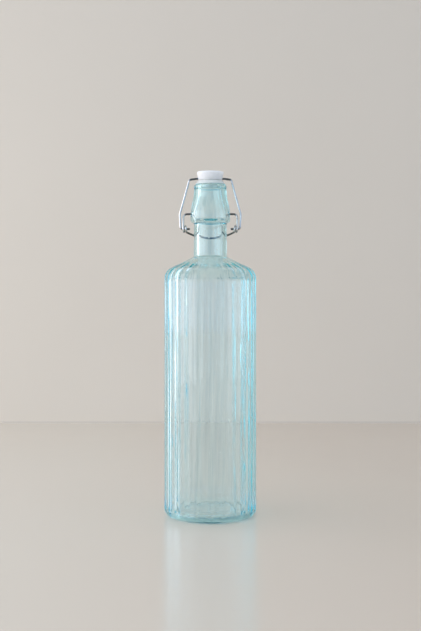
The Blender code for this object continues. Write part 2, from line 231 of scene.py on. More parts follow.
def build_mesh(name: str, rings: Points, caps: Optional[Sequence[Points]]) -> Mesh:
    """A closed mesh from rings of points: a quad between each two neighbours on two neighbouring rings.

    Args:
        name: The mesh's name.
        rings: An array (rings, points round, 3). Faces point along (round) x (ring to ring).
        caps: The two end points that close the first and last ring with a fan, or None where the last
            ring joins the first.

    Returns:
        The smooth-shaded mesh.
    """
    rows, columns = rings.shape[:2]
    index = np.arange(rows * columns).reshape(rows, columns)
    here = index if caps is None else index[:-1]
    there = np.roll(index, -1, axis=0) if caps is None else index[1:]
    quads = np.stack([here, np.roll(here, -1, axis=1), np.roll(there, -1, axis=1), there], axis=-1)
    faces = quads.reshape(-1, 4).tolist()
    vertices = rings.reshape(-1, 3)
    if caps is not None:
        first, last = rows * columns, rows * columns + 1
        vertices = np.concatenate([vertices, np.asarray(caps, float)])
        for pole, ring in ((first, index[0][::-1]), (last, index[-1])):
            fan = np.stack([np.full(columns, pole), ring, np.roll(ring, -1)], axis=-1)
            faces += fan.tolist()
    mesh = bpy.data.meshes.new(name)
    mesh.from_pydata(vertices.tolist(), [], faces)
    mesh.shade_smooth()
    return mesh


def new_object(name: str, data: ID) -> Object:
    """An object linked to the scene at the origin.

    Args:
        name: The object's name.
        data: Its mesh, lamp or camera.

    Returns:
        The object.
    """
    made = bpy.data.objects.new(name, data)
    bpy.context.scene.collection.objects.link(made)
    return made


def hand_over(
    name: str, mesh: Mesh, finish: Material, body: Body, node: str
) -> None:
    """Dresses a mesh and sets it on its body as a piece, in place of its plain node, and reports it.

    Args:
        name: The piece's name.
        mesh: Its mesh.
        finish: Its material.
        body: The body it rides on.
        node: The node it stands for.
    """
    mesh.materials.clear()
    mesh.materials.append(finish)
    piece = new_object(name, mesh)
    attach(piece, body.value)
    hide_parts(node)
    LOG.info("%s: %d faces, rides on %s", name, len(mesh.polygons), body.value)


class Graph:
    """A node tree in the making."""

    def __init__(self, tree: NodeTree) -> None:
        """Keeps the tree."""
        self.tree = tree

    def add(self, kind: str, inputs: Optional[dict] = None, **settings: object) -> Node:
        """Adds a node.

        Args:
            kind: The node's type, without its ShaderNode.
            inputs: A value or an output socket for each input, by its name or number.
            settings: The node's own properties.

        Returns:
            The node.
        """
        node = self.tree.nodes.new("ShaderNode" + kind)
        for name, value in settings.items():
            setattr(node, name, value)
        self.feed(node, inputs or {})
        return node

    def feed(self, node: Node, inputs: dict) -> None:
        """Links or sets a node's inputs.

        Args:
            node: The node.
            inputs: An output socket to link, or a plain value to set, for each input.
        """
        for name, value in inputs.items():
            if isinstance(value, Socket):
                self.tree.links.new(value, node.inputs[name])
            else:
                node.inputs[name].default_value = value

    def place(self) -> Socket:
        """The Object coordinates."""
        return self.add("TexCoord").outputs["Object"]

    def part(self, vector: Value, axis: str) -> Socket:
        """A vector's part along an axis."""
        return self.add("SeparateXYZ", {0: vector}).outputs[axis]

    def noise(self, where: Value, scale: Value, detail: float) -> Socket:
        """Soft noise around 0.5, with a scale of patches to the metre."""
        return self.add("TexNoise", {"Vector": where, "Scale": scale, "Detail": detail}).outputs["Fac"]

    def math(self, operation: str, first: Value, second: Value) -> Socket:
        """The result of a Math node."""
        return self.add("Math", {0: first, 1: second}, operation=operation).outputs[0]

    def span(self, value: Value, source: Sequence[Value], target: Sequence[Value]) -> Socket:
        """A value carried from one range to another and held inside it."""
        ends = zip(("From Min", "From Max", "To Min", "To Max"), (*source, *target))
        return self.add("MapRange", {"Value": value, **dict(ends)}).outputs["Result"]

    def bump(self, height: Value, distance: float, strength: float, **over: Value) -> Socket:
        """Normals raised by a height of 0 to 1 times a distance, over those given as Normal."""
        inputs = {"Height": height, "Distance": distance, "Strength": strength, **over}
        return self.add("Bump", inputs).outputs["Normal"]

    def blend(self, share: Value, first: Value, second: Value) -> Socket:
        """A colour between two colours.

        Args:
            share: 0 for the first, 1 for the second.
            first: The first colour.
            second: The second colour.

        Returns:
            The mixed colour.
        """
        node = self.add("Mix", {"Factor": share}, data_type="RGBA")
        ends = [socket for socket in node.inputs if socket.type == "RGBA"]
        for socket, value in zip(ends, (first, second)):
            if isinstance(value, Socket):
                self.tree.links.new(value, socket)
            else:
                socket.default_value = (*value, 1.0)
        return next(socket for socket in node.outputs if socket.type == "RGBA")


class Dressing(Graph):
    """The graph of a new material, round its Principled shader."""

    def __init__(self, name: str) -> None:
        """Makes the material, which comes with its shader and its output.

        Args:
            name: The material's name.
        """
        self.material = bpy.data.materials.new(name)
        self.material.use_nodes = True
        super().__init__(self.material.node_tree)
        self.shader = self.tree.nodes["Principled BSDF"]
        self.output = self.tree.nodes["Material Output"]

    def dress(self, inputs: dict) -> Material:
        """Feeds the shader's inputs and gives the material."""
        self.feed(self.shader, inputs)
        return self.material


class GrainGroup:
    """Shared effect: broad patches over fine grain, as handling and moulding leave them on a surface."""

    INPUTS = ("Patch Scale", "Grain Scale", "Low", "High")
    OUTPUTS = ("Value", "Patches", "Grain")

    def __init__(self) -> None:
        """Builds the nodes: the value is 0.7 of the patches and 0.3 of the grain, from low to high."""
        self.tree = bpy.data.node_groups.new("surface_grain", "ShaderNodeTree")
        sockets = self.tree.interface
        sockets.new_socket("Place", in_out="INPUT", socket_type="NodeSocketVector")
        for name in self.INPUTS:
            sockets.new_socket(name, in_out="INPUT", socket_type="NodeSocketFloat")
        for name in self.OUTPUTS:
            sockets.new_socket(name, in_out="OUTPUT", socket_type="NodeSocketFloat")
        graph = Graph(self.tree)
        given = self.tree.nodes.new("NodeGroupInput").outputs
        patches = graph.noise(given["Place"], given["Patch Scale"], 3.0)
        grain = graph.noise(given["Place"], given["Grain Scale"], 2.0)
        soft = graph.span(patches, (0.35, 0.65), (0.0, 1.0))
        mixed = graph.math("ADD", graph.math("MULTIPLY", soft, 0.7), graph.math("MULTIPLY", grain, 0.3))
        value = graph.span(mixed, (0.0, 1.0), (given["Low"], given["High"]))
        result = self.tree.nodes.new("NodeGroupOutput")
        graph.feed(result, dict(zip(self.OUTPUTS, (value, soft, grain))))

    def lay(self, graph: Graph, where: Value, scales: Sequence[float], span: Sequence[float]) -> dict:
        """Lays the effect over a material.

        Args:
            graph: The material's graph.
            where: The coordinates it reads.
            scales: Patches and grains per metre.
            span: The lowest and highest value it gives.

        Returns:
            The outputs Value, Patches and Grain, by name.
        """
        inputs = {"Place": where, **dict(zip(self.INPUTS, (*scales, *span)))}
        node = graph.add("Group", node_tree=self.tree)
        graph.feed(node, inputs)
        return {name: node.outputs[name] for name in self.OUTPUTS}


@dataclass(frozen=True)
class GlassFinish:
    """Pale aqua pressed glass: clear, tinted by its depth, with cords, waves, seeds and a stippled foot."""

    ior: float = 1.52
    tint: tuple = (0.10, 0.90, 0.97)
    tint_density: float = 39.0
    clear: tuple = (1.0, 1.0, 1.0)
    cord: tuple = (0.86, 0.90, 0.92)
    cord_scale: float = 420.0
    cord_stretch: float = 40.0
    cord_lean: float = math.radians(2.5)
    cord_height: float = 0.00003
    film_scales: tuple = (90.0, 700.0)
    roughness: tuple = (0.0, 0.02)
    frost: float = 0.12
    frost_height: float = 0.0045
    wave_scale: float = 55.0
    wave_stretch: float = 0.16
    wave_height: float = 0.00006
    seed_scale: float = 75.0
    seed_radius: float = 0.0007
    seed_height: float = 0.0002

    def build(self, grain: GrainGroup) -> Material:
        """Builds the glass, with its tint as a volume.

        Args:
            grain: The shared grain, which films the glass faintly.

        Returns:
            The material.
        """
        graph = Dressing(Slot.GLASS.value)
        place = graph.place()
        film = grain.lay(graph, place, self.film_scales, self.roughness)
        lean = {"Rotation": (0.0, self.cord_lean, 0.0), "Scale": (1.0, 1.0, self.cord_stretch)}
        drawn = graph.add("Mapping", {"Vector": place, **lean}, vector_type="TEXTURE").outputs[0]
        streaks = graph.noise(drawn, self.cord_scale, 1.0)
        cords = graph.span(streaks, (0.5, 0.7), (0.0, 1.0))
        edge = (0.2 * self.frost_height, self.frost_height)
        stippled = graph.span(graph.part(place, "Z"), edge, (self.frost, 0.0))
        stretched = graph.add("Mapping", {"Vector": place, "Scale": (1.0, 1.0, self.wave_stretch)}).outputs[0]
        rolled = graph.bump(graph.noise(stretched, self.wave_scale, 2.0), self.wave_height, 1.0)
        cells = graph.add("TexVoronoi", {"Vector": place, "Scale": self.seed_scale}).outputs["Distance"]
        seeds = graph.span(cells, (0.0, self.seed_radius * self.seed_scale), (1.0, 0.0))
        seeded = graph.bump(seeds, self.seed_height, 1.0, Normal=rolled)
        volume = graph.add("VolumeAbsorption", {"Color": (*self.tint, 1.0), "Density": self.tint_density})
        graph.feed(graph.output, {"Volume": volume.outputs[0]})
        return graph.dress({
            "Base Color": graph.blend(cords, self.clear, self.cord),
            "Roughness": graph.math("ADD", film["Value"], stippled),
            "IOR": self.ior,
            "Transmission Weight": 1.0,
            "Normal": graph.bump(streaks, self.cord_height, 1.0, Normal=seeded),
        })


@dataclass(frozen=True)
class SteelFinish:
    """Plated spring wire: bright, with drawn streaks, and darker where it runs level: painted shade for the
    dark room that the level runs reflect.
    """

    bright: tuple = (0.66, 0.65, 0.62)
    dull: tuple = (0.50, 0.49, 0.47)
    # Painted shade: the dark colour of the level runs, standing for the dark room they reflect
    level_shade_colour: tuple = (0.13, 0.125, 0.12)
    scales: tuple = (160.0, 2500.0)
    roughness: tuple = (0.14, 0.22)
    streak_scale: float = 5500.0
    streak_stretch: float = 0.02
    streak_height: float = 0.00002

    def build(self, grain: GrainGroup) -> Material:
        """Builds the steel, whose streaks and painted level shade read the wire's own attributes.

        Args:
            grain: The shared grain.

        Returns:
            The material.
        """
        graph = Dressing(Slot.STEEL.value)
        place = graph.add("Attribute", attribute_name=WIRE_PLACE).outputs["Vector"]
        surface_marks = grain.lay(graph, place, self.scales, self.roughness)
        drawn = graph.add("Mapping", {"Vector": place, "Scale": (self.streak_stretch, 1.0, 1.0)}).outputs[0]
        streaks = graph.noise(drawn, self.streak_scale, 3.0)
        shade = graph.math("MULTIPLY", surface_marks["Patches"], graph.span(streaks, (0.3, 0.7), (0.4, 1.0)))
        # Painted shade on the level runs, blended in from the wire's level-shade attribute
        level_shade_share = graph.add("Attribute", attribute_name=WIRE_LEVEL_SHADE).outputs["Fac"]
        return graph.dress({
            "Base Color": graph.blend(level_shade_share, graph.blend(shade, self.bright, self.dull), self.level_shade_colour),
            "Metallic": 1.0,
            "Roughness": surface_marks["Value"],
            "Normal": graph.bump(streaks, self.streak_height, 0.5),
        })


@dataclass(frozen=True)
class MouldedFinish:
    """A moulded material: satin, with two colours in patches, moulding texture and constants."""

    slot: Slot
    colours: tuple
    scales: tuple
    roughness: tuple
    relief: float
    constants: dict
    grain_height: float = 0.00003

    def build(self, grain: GrainGroup) -> Material:
        """Builds the moulded material.

        Args:
            grain: The shared grain.

        Returns:
            The material.
        """
        graph = Dressing(self.slot.value)
        surface_marks = grain.lay(graph, graph.place(), self.scales, self.roughness)
        return graph.dress({
            "Base Color": graph.blend(surface_marks["Patches"], *self.colours),
            "Roughness": surface_marks["Value"],
            "Normal": graph.bump(surface_marks["Grain"], self.grain_height, self.relief),
            **self.constants,
        })


# White plastic, a little soft inside, with faint scuffs
PLASTIC = MouldedFinish(
    Slot.PLASTIC, ((0.80, 0.785, 0.755), (0.76, 0.745, 0.715)), (220.0, 3200.0), (0.42, 0.55), 0.5,
    {"IOR": 1.5, "Subsurface Weight": 1.0, "Subsurface Radius": (0.008,) * 3, "Subsurface Scale": 1.0},
)
# Milky silicone, part clear and a little cloudy
SILICONE = MouldedFinish(
    Slot.SILICONE, ((0.90, 0.90, 0.84), (0.84, 0.85, 0.80)), (300.0, 2600.0), (0.30, 0.48), 0.4,
    {"IOR": 1.41, "Transmission Weight": 0.25},
)


@dataclass
class Datums:
    """Places shared by the pieces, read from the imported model."""

    pivot_z: float
    eye_y: float
    eye_z: float
    crossbar_z: float
    glass_radius: float
    glass_top: float

    @classmethod
    def read(cls, model: dict) -> "Datums":
        """Takes the joints' places and the glass's box from the model.


        Returns:
            The places.
        """
        places = {joint["name"]: joint["pos_m"] for joint in model["joints"]}
        low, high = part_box("glass_body")
        eye = places["bail_hook"]
        return cls(places["lever_pivot"][2], eye[1], eye[2], places["stopper_swivel"][2], high.x, high.z)


@dataclass
class GlassBottle:
    """The bottle: one closed surface, up the fluted outside, over the lip and down the inside."""

    datums: Datums
    wall_top: float = 0.2095
    shoulder_bend: float = 0.0105
    shoulder_slope: float = math.radians(26.0)
    neck_radius: float = 0.0145
    neck_foot_bend: float = 0.0026
    bulb_radius: float = 0.0178
    bulb_heel_bend: float = 0.0036
    bulb_fillet: float = 0.0012
    bulb_belly: float = 0.0015
    bulb_taper: float = 0.0248
    pivot_height: float = 0.0047
    lip_radius: float = 0.0144
    lip_edge: float = 0.0011
    groove_height: float = 0.0010
    groove_depth: float = 0.0005
    heel_bend: float = 0.0052
    foot_ring_width: float = 0.0015
    step_rise: float = 0.0032
    step_run: float = 0.0050
    step_bend: float = 0.0040
    step_top_bend: float = 0.0100
    punt_rise: float = 0.0040
    punt_middle: float = 0.0190
    punt_bend: float = 0.0080
    flute_count: int = 22
    flute_depth: float = 0.0010
    flute_ridge: float = 0.06
    flute_top: float = 0.0230
    flute_top_end: float = 0.0150
    flute_foot_drop: float = 0.0007
    flute_foot_end: float = 0.0060
    body_wall: float = 0.0034
    inner_shoulder_bend: float = 0.0120
    base_wall: float = 0.0013
    corner_height: float = 0.0
    floor_step_radius: float = 0.0285
    floor_step_bend: float = 0.0040
    inner_heel_bend: float = 0.0044
    neck_wall: float = 0.0039
    bulb_wall: float = 0.0036
    bulb_floor_wall: float = 0.0036
    floor_edge: float = 0.0010
    bore_radius: float = 0.0093
    bore_length: float = 0.0060
    bore_edge: float = 0.0010
    echo: float = 0.00006
    ripple: float = 0.00009
    dimple_floor: float = 0.0013
    dimple_flare: float = 0.0009
    dimple_depth: float = 0.0017
    seam_height: float = 0.00004
    heel_rows: int = 4
    columns_per_flute: int = 18
    pole_radius: float = 0.0030
    longest_chord: float = 0.0040

    def __post_init__(self) -> None:
        """Works out the places that follow from the sizes."""
        slope = self.shoulder_slope
        self.radius = self.datums.glass_radius
        self.sweep = math.pi / 2 - slope
        self.widest = self.datums.pivot_z - self.pivot_height
        self.lip_top = self.datums.glass_top
        self.bulb_top = self.widest + self.bulb_belly + self.bulb_taper
        self.slope_radius = self.radius - self.shoulder_bend * (1.0 - math.sin(slope))
        self.slope_foot = self.wall_top + self.shoulder_bend * math.cos(slope)
        foot_radius = self.neck_radius + self.neck_foot_bend * (1.0 - math.sin(slope))
        self.neck_start = self.slope_height(foot_radius) + self.neck_foot_bend * math.cos(slope)

    def slope_height(self, radius: float) -> float:
        """Height of the shoulder's straight slope at a radius."""
        return self.slope_foot + (self.slope_radius - radius) * math.tan(self.shoulder_slope)

    def taper_radius(self, height: Points) -> Points:
        """Outer radius of the bulb: a half cosine from the belly up to the lip."""
        along = np.clip((height - self.widest - self.bulb_belly) / self.bulb_taper, 0.0, 1.0)
        return self.lip_radius + (self.bulb_radius - self.lip_radius) * (1.0 + np.cos(np.pi * along)) / 2.0

    def foot_outline(self) -> Points:
        """Punt, foot ring and heel: inside the ring a short step, then a gentle cone up to a flat middle.

        Returns:
            The profile from the middle out.
        """
        ring_outer = self.radius - self.heel_bend
        ring_inner = ring_outer - self.foot_ring_width
        corners = [(self.pole_radius, self.punt_rise), (self.punt_middle, self.punt_rise)]
        corners += [(ring_inner - self.step_run, self.step_rise), (ring_inner, 0.0), (ring_outer, 0.0)]
        bends = (self.punt_bend, self.step_top_bend, self.step_bend)
        punt = split_long(rounded(corners, bends, 5), self.longest_chord)
        heel = arc((ring_outer, self.heel_bend), self.heel_bend, -math.pi / 2, 0.0, 7)
        return chain(punt, heel)

    def wall_outline(self) -> Points:
        """Wall, shoulder bend, slope, neck foot and neck, up to the fillet under the bulb.

        Returns:
            The profile going up.
        """
        foot_end = self.heel_bend - self.flute_foot_drop + self.flute_foot_end
        bend_centre = (self.radius - self.shoulder_bend, self.wall_top)
        bend = arc(bend_centre, self.shoulder_bend, 0.0, self.sweep, 9)
        foot_centre = (self.neck_radius + self.neck_foot_bend, self.neck_start)
        foot = arc(foot_centre, self.neck_foot_bend, math.pi + self.sweep, math.pi, 6)
        lower = straight((self.radius, self.heel_bend), (self.radius, foot_end + 1.5 * MM), 9)
        wall = straight((self.radius, foot_end + 1.5 * MM), (self.radius, self.wall_top), 24)
        slope = straight(bend[-1], foot[0], 12)
        return chain(lower, wall, bend, slope, foot)

    def bulb_outline(self) -> Points:
        """Fillet, heel, belly and taper of the bulb; the fillet touches both the neck and the heel's arc.

        Returns:
            The profile going up.
        """
        reach = self.bulb_heel_bend + self.bulb_fillet
        heel_centre = (self.bulb_radius - self.bulb_heel_bend, self.widest)
        across = self.neck_radius + self.bulb_fillet - heel_centre[0]
        turn = math.acos(across / reach)
        fillet_centre = (self.neck_radius + self.bulb_fillet, self.widest - reach * math.sin(turn))
        fillet = arc(fillet_centre, self.bulb_fillet, math.pi, math.pi - turn, 4)
        heel = arc(heel_centre, self.bulb_heel_bend, -turn, 0.0, 6)
        heights = np.linspace(self.widest + self.bulb_belly, self.bulb_top, 28)
        taper = np.column_stack([self.taper_radius(heights), heights])
        return chain(fillet, heel, taper)

    def lip_outline(self) -> Points:
        """Groove and lip: the groove is a squared sine, and the lip's two edges are rounded.

        Returns:
            The profile up, over the lip and down the bore.
        """
        heights = np.linspace(self.bulb_top, self.bulb_top + self.groove_height, 9)
        across = np.sin(np.pi * (heights - self.bulb_top) / self.groove_height) ** 2
        groove = np.column_stack([self.lip_radius - self.groove_depth * across, heights])
        corners = [groove[-1], (self.lip_radius, self.lip_top), (self.bore_radius, self.lip_top)]
        corners.append((self.bore_radius, self.lip_top - self.bore_length))
        return chain(groove, rounded(corners, (self.lip_edge, self.bore_edge), 5))

    def inner_bulb(self) -> Points:
        """The bulb's hollow: a half cosine from bore to belly, then a bowl and a rounded edge to the neck.

        Returns:
            The profile going down.
        """
        top = self.lip_top - self.bore_length
        widest = self.widest + self.bulb_belly
        belly = self.bulb_radius - self.bulb_wall
        neck_bore = self.neck_radius - self.neck_wall
        share = np.linspace(0.0, 1.0, 15)
        swell = self.bore_radius + (belly - self.bore_radius) * (1.0 - np.cos(np.pi * share)) / 2.0
        taper = np.column_stack([swell, top + (widest - top) * share])
        floor = self.widest - self.bulb_heel_bend + self.bulb_floor_wall / 2.0
        edge_top = floor - self.floor_edge
        turn = np.linspace(0.0, math.pi / 2, 6)
        rim = neck_bore + self.floor_edge
        bowl = np.column_stack([rim + (belly - rim) * np.cos(turn), widest - (widest - floor) * np.sin(turn)])
        edge = arc((rim, edge_top), self.floor_edge, math.pi / 2, math.pi, 5)
        return chain(taper, bowl, edge)

    def inner_body(self) -> Points:
        """Inside of the neck's foot, shoulder, wall and floor; the shoulder bends wider than outside.

        Returns:
            The profile going down, to the middle of the floor.
        """
        bore = self.neck_radius - self.neck_wall
        bend = self.neck_foot_bend + self.neck_wall
        foot_radius = bore + bend * (1.0 - math.sin(self.shoulder_slope))
        drop = self.body_wall / math.cos(self.shoulder_slope)
        centre = (bore + bend, self.slope_height(foot_radius) - drop + bend * math.cos(self.shoulder_slope))
        foot = arc(centre, bend, math.pi, math.pi + self.sweep, 7)
        inner = self.radius - self.body_wall
        turn = self.inner_shoulder_bend
        start = inner - turn * (1.0 - math.sin(self.shoulder_slope))
        middle = (inner - turn, self.slope_height(start) - drop - turn * math.cos(self.shoulder_slope))
        shoulder = arc(middle, turn, self.sweep, 0.0, 12)
        floor = self.punt_rise + self.base_wall
        lowest = self.corner_height + 2.0 * self.inner_heel_bend
        wall = straight((inner, middle[1]), (inner, lowest), 24)
        corners = [wall[-1], (inner, self.corner_height)]
        corners.append((self.floor_step_radius, self.step_rise + self.base_wall))
        corners += [(self.punt_middle, floor), (self.pole_radius, floor)]
        bends = (self.inner_heel_bend, self.floor_step_bend, self.punt_bend)
        bottom = split_long(rounded(corners, bends, 6), self.longest_chord)
        slope = straight(foot[-1], shoulder[0], 4)
        return chain(foot, slope, shoulder, wall, bottom)

    def flute_share(self, phase: Points, past_end: Points) -> Points:
        """How deep a flute is, as a share: 1 - across^2 - past^2, with the step to nothing rounded off.

        Args:
            phase: Place across each flute, 0 and 1 on its ridges.
            past_end: Place past the start of the flute's rounded foot, 0 before it and 1 at its tip.

        Returns:
            Shares from about 0 on a ridge to 1 along the middle.
        """
        across = 1.0 - np.abs(2.0 * phase - 1.0)
        bowl = 1.0 - (1.0 - across) ** 2 - past_end**2
        return (bowl + np.sqrt(bowl**2 + self.flute_ridge**2)) / 2.0

    def press_flutes(self, profile: Points, angles: Points) -> Points:
        """Presses the flutes into the outside along its normals.

        Args:
            profile: The outside, from the heel to the neck.
            angles: The columns' angles.

        Returns:
            An array (rows, angles, 2) of pressed sections.
        """
        phase = (angles * self.flute_count / TAU) % 1.0
        radius, height = profile[:, 0], profile[:, 1]
        foot_tip = self.heel_bend - self.flute_foot_drop
        past = np.maximum((foot_tip + self.flute_foot_end - height) / self.flute_foot_end, 0.0)
        eased = smooth_step((radius - self.flute_top) / self.flute_top_end)
        fade = np.where(height > self.wall_top, eased, 1.0)
        depth = self.flute_depth * self.flute_share(phase[None, :], past[:, None]) * fade[:, None]
        return profile[:, None, :] - depth[..., None] * outward(profile)[:, None, :]

    def ripple_inside(self, profile: Points, angles: Points) -> Points:
        """Adds the inside's unevenness: a faint echo of the flutes and slanting ripples, as blowing leaves.

        Args:
            profile: The inside, from the lip to the floor.
            angles: The columns' angles.

        Returns:
            An array (rows, angles, 2) of uneven sections.
        """
        height = profile[:, 1][:, None]
        turn = angles[None, :]
        body = smooth_step((self.wall_top - height) / (20.0 * MM) + 0.5)
        body = body * smooth_step((height - 1.0 * MM) / (6.0 * MM))
        echo = self.echo * np.cos(self.flute_count * turn)
        waves = sum(
            np.sin(count * turn + lean * TAU * height / self.wall_top + start) / math.sqrt(index + 1.0)
            for index, (count, lean, start) in enumerate(RIPPLES)
        )
        inward = (echo + self.ripple * waves) * body
        return profile[:, None, :] - inward[..., None] * np.array([1.0, 0.0])

    def sink_dimples(self, rings: Points) -> Points:
        """Sinks the lever's two dimples: near the pivot's axis, x goes to a flat floor with eased walls.

        Args:
            rings: The outside's points, which are changed.

        Returns:
            The same points.
        """
        floor = float(self.taper_radius(np.array(self.datums.pivot_z))) - self.dimple_depth
        away = np.hypot(rings[..., 1], rings[..., 2] - self.datums.pivot_z)
        share = 1.0 - smooth_step((away - self.dimple_floor) / self.dimple_flare)
        side = np.abs(rings[..., 0])
        sunk = np.where(side > floor, side + (floor - side) * share, side)
        rings[..., 0] = np.sign(rings[..., 0]) * sunk
        return rings

    def raise_seams(self, rings: Points, angles: Points) -> Points:
        """Raises the mould's two seams, one column wide, at the bottle's sides above its heel.

        Args:
            rings: The outside's points, which are changed.
            angles: The columns' angles.

        Returns:
            The same points.
        """
        on_seam = np.isclose(np.abs(np.sin(angles)), 1.0, atol=1e-6)
        above = smooth_step((rings[..., 2] - 2.0 * self.heel_bend) / self.heel_bend)
        lift = self.seam_height * above * on_seam[None, :]
        rings[..., 0] += np.sign(rings[..., 0]) * lift
        return rings

    def column_angles(self) -> Points:
        """The columns' angles, drawn a little towards the ridges, where the surface turns fastest.

        Returns:
            An angle for each column.
        """
        count = self.columns_per_flute
        share = np.arange(count * self.flute_count) / count
        return (share - 0.3 * np.sin(TAU * share) / TAU) * TAU / self.flute_count

    def build(self, finish: Material) -> None:
        """Builds and dresses the glass.

        Args:
            finish: The glass material.
        """
        angles = self.column_angles()
        foot = self.foot_outline()
        wall = self.wall_outline()
        outside = chain(foot, wall, self.bulb_outline(), self.lip_outline())
        inside = chain(self.inner_bulb(), self.inner_body())
        pressed = outside[:, None, :] + np.zeros((1, len(angles), 1))
        # Flutes run from the heel's upper rows up to the shoulder, where their depth fades to nothing
        first, last = len(foot) - self.heel_rows, len(foot) + len(wall) - 2
        pressed[first:last] = self.press_flutes(outside[first:last], angles)
        outer = self.raise_seams(self.sink_dimples(turned(pressed, angles)), angles)
        inner = turned(self.ripple_inside(inside[1:], angles), angles)
        poles = [(0.0, 0.0, self.punt_rise), (0.0, 0.0, self.punt_rise + self.base_wall)]
        mesh = build_mesh("bottle_glass", np.concatenate([outer, inner]), poles)
        hand_over("bottle_glass", mesh, finish, Body.BOTTLE, "glass_body")


# Ripples on the inside of the wall: waves round the bottle, lean in turns over its height, and start
RIPPLES = ((31.0, 0.3, 0.4), (47.0, -0.5, 2.1), (67.0, 0.8, 4.4), (13.0, -0.3, 1.3), (5.0, 0.2, 3.0))


@dataclass
class Wire:
    """A round wire: a circle carried along a centre line, with slightly domed ends."""

    radius: float
    sides: int = 24
    dome_share: float = 0.35
    longest_leg: float = 0.0012

    def sweep(self, path: Points, across: Points) -> tuple[Points, Points, list]:
        """Carries the circle along the path.

        Args:
            path: The centre line.
            across: A vector for each of its points, or one for all, that the section's first axis leans to.

        Returns:
            The rings, each point's place along and round the wire, and the two end points.
        """
        along = unit(np.gradient(path, axis=0))
        across = np.broadcast_to(across, path.shape)
        first = unit(across - np.sum(across * along, axis=1, keepdims=True) * along)
        second = np.cross(along, first)
        turn = all_round(self.sides)
        circle = first[:, None] * np.cos(turn)[:, None] + second[:, None] * np.sin(turn)[:, None]
        dome = self.dome_share * self.radius
        bend = np.linspace(0.0, math.pi / 2, 4)[:-1]
        start = [path[0] + along[0] * dome * (1.0 - math.sin(a)) for a in bend[::-1]]
        end = [path[-1] - along[-1] * dome * (1.0 - math.sin(a)) for a in bend]
        centres = np.concatenate([start, path[1:-1], end])
        circles = np.concatenate([circle[:1]] * 3 + [circle[1:-1]] + [circle[-1:]] * 3)
        shrink = np.cos(bend)
        radii = np.concatenate([shrink[::-1], np.ones(len(path) - 2), shrink]) * self.radius
        rings = centres[:, None] + circles * radii[:, None, None]
        run = np.concatenate([[0.0], np.cumsum(np.linalg.norm(np.diff(centres, axis=0), axis=1))])
        places = np.empty(rings.shape)
        places[..., 0] = run[:, None]
        places[..., 1] = radii[:, None] * np.cos(turn)
        places[..., 2] = radii[:, None] * np.sin(turn)
        return rings, places, [path[0], path[-1]]

    def mesh(self, name: str, path: Points, across: Points) -> Mesh:
        """A wire's mesh, with each point's place on the wire, and its painted shade from how level the wire
        runs.

        Args:
            name: The mesh's name.
            path: The centre line in the model's coordinates.
            across: See sweep.

        Returns:
            The mesh.
        """
        rings, places, ends = self.sweep(path, across)
        mesh = build_mesh(name, rings, ends)
        caps = np.array([[places[0, 0, 0], 0.0, 0.0], [places[-1, 0, 0], 0.0, 0.0]])
        values = np.concatenate([places.reshape(-1, 3), caps])
        attribute = mesh.attributes.new(WIRE_PLACE, "FLOAT_VECTOR", "POINT")
        attribute.data.foreach_set("vector", values.astype(np.float32).ravel())
        # Painted shade: the more level the wire runs, the darker the steel is painted
        along = unit(np.gradient(rings.mean(axis=1), axis=0))
        level = smooth_step(1.5 * (1.0 - np.abs(along[:, 2])) - 0.1)
        surface_marks = np.concatenate([np.repeat(level, self.sides), level[[0, -1]]])
        mesh.attributes.new(WIRE_LEVEL_SHADE, "FLOAT", "POINT").data.foreach_set("value", surface_marks.astype(np.float32))
        return mesh


def both_sides(half: Points) -> Points:
    """A whole centre line from the half that ends on the plane X = 0."""
    other = half[:-1][::-1] * np.array([-1.0, 1.0, 1.0])
    return np.concatenate([half, other])


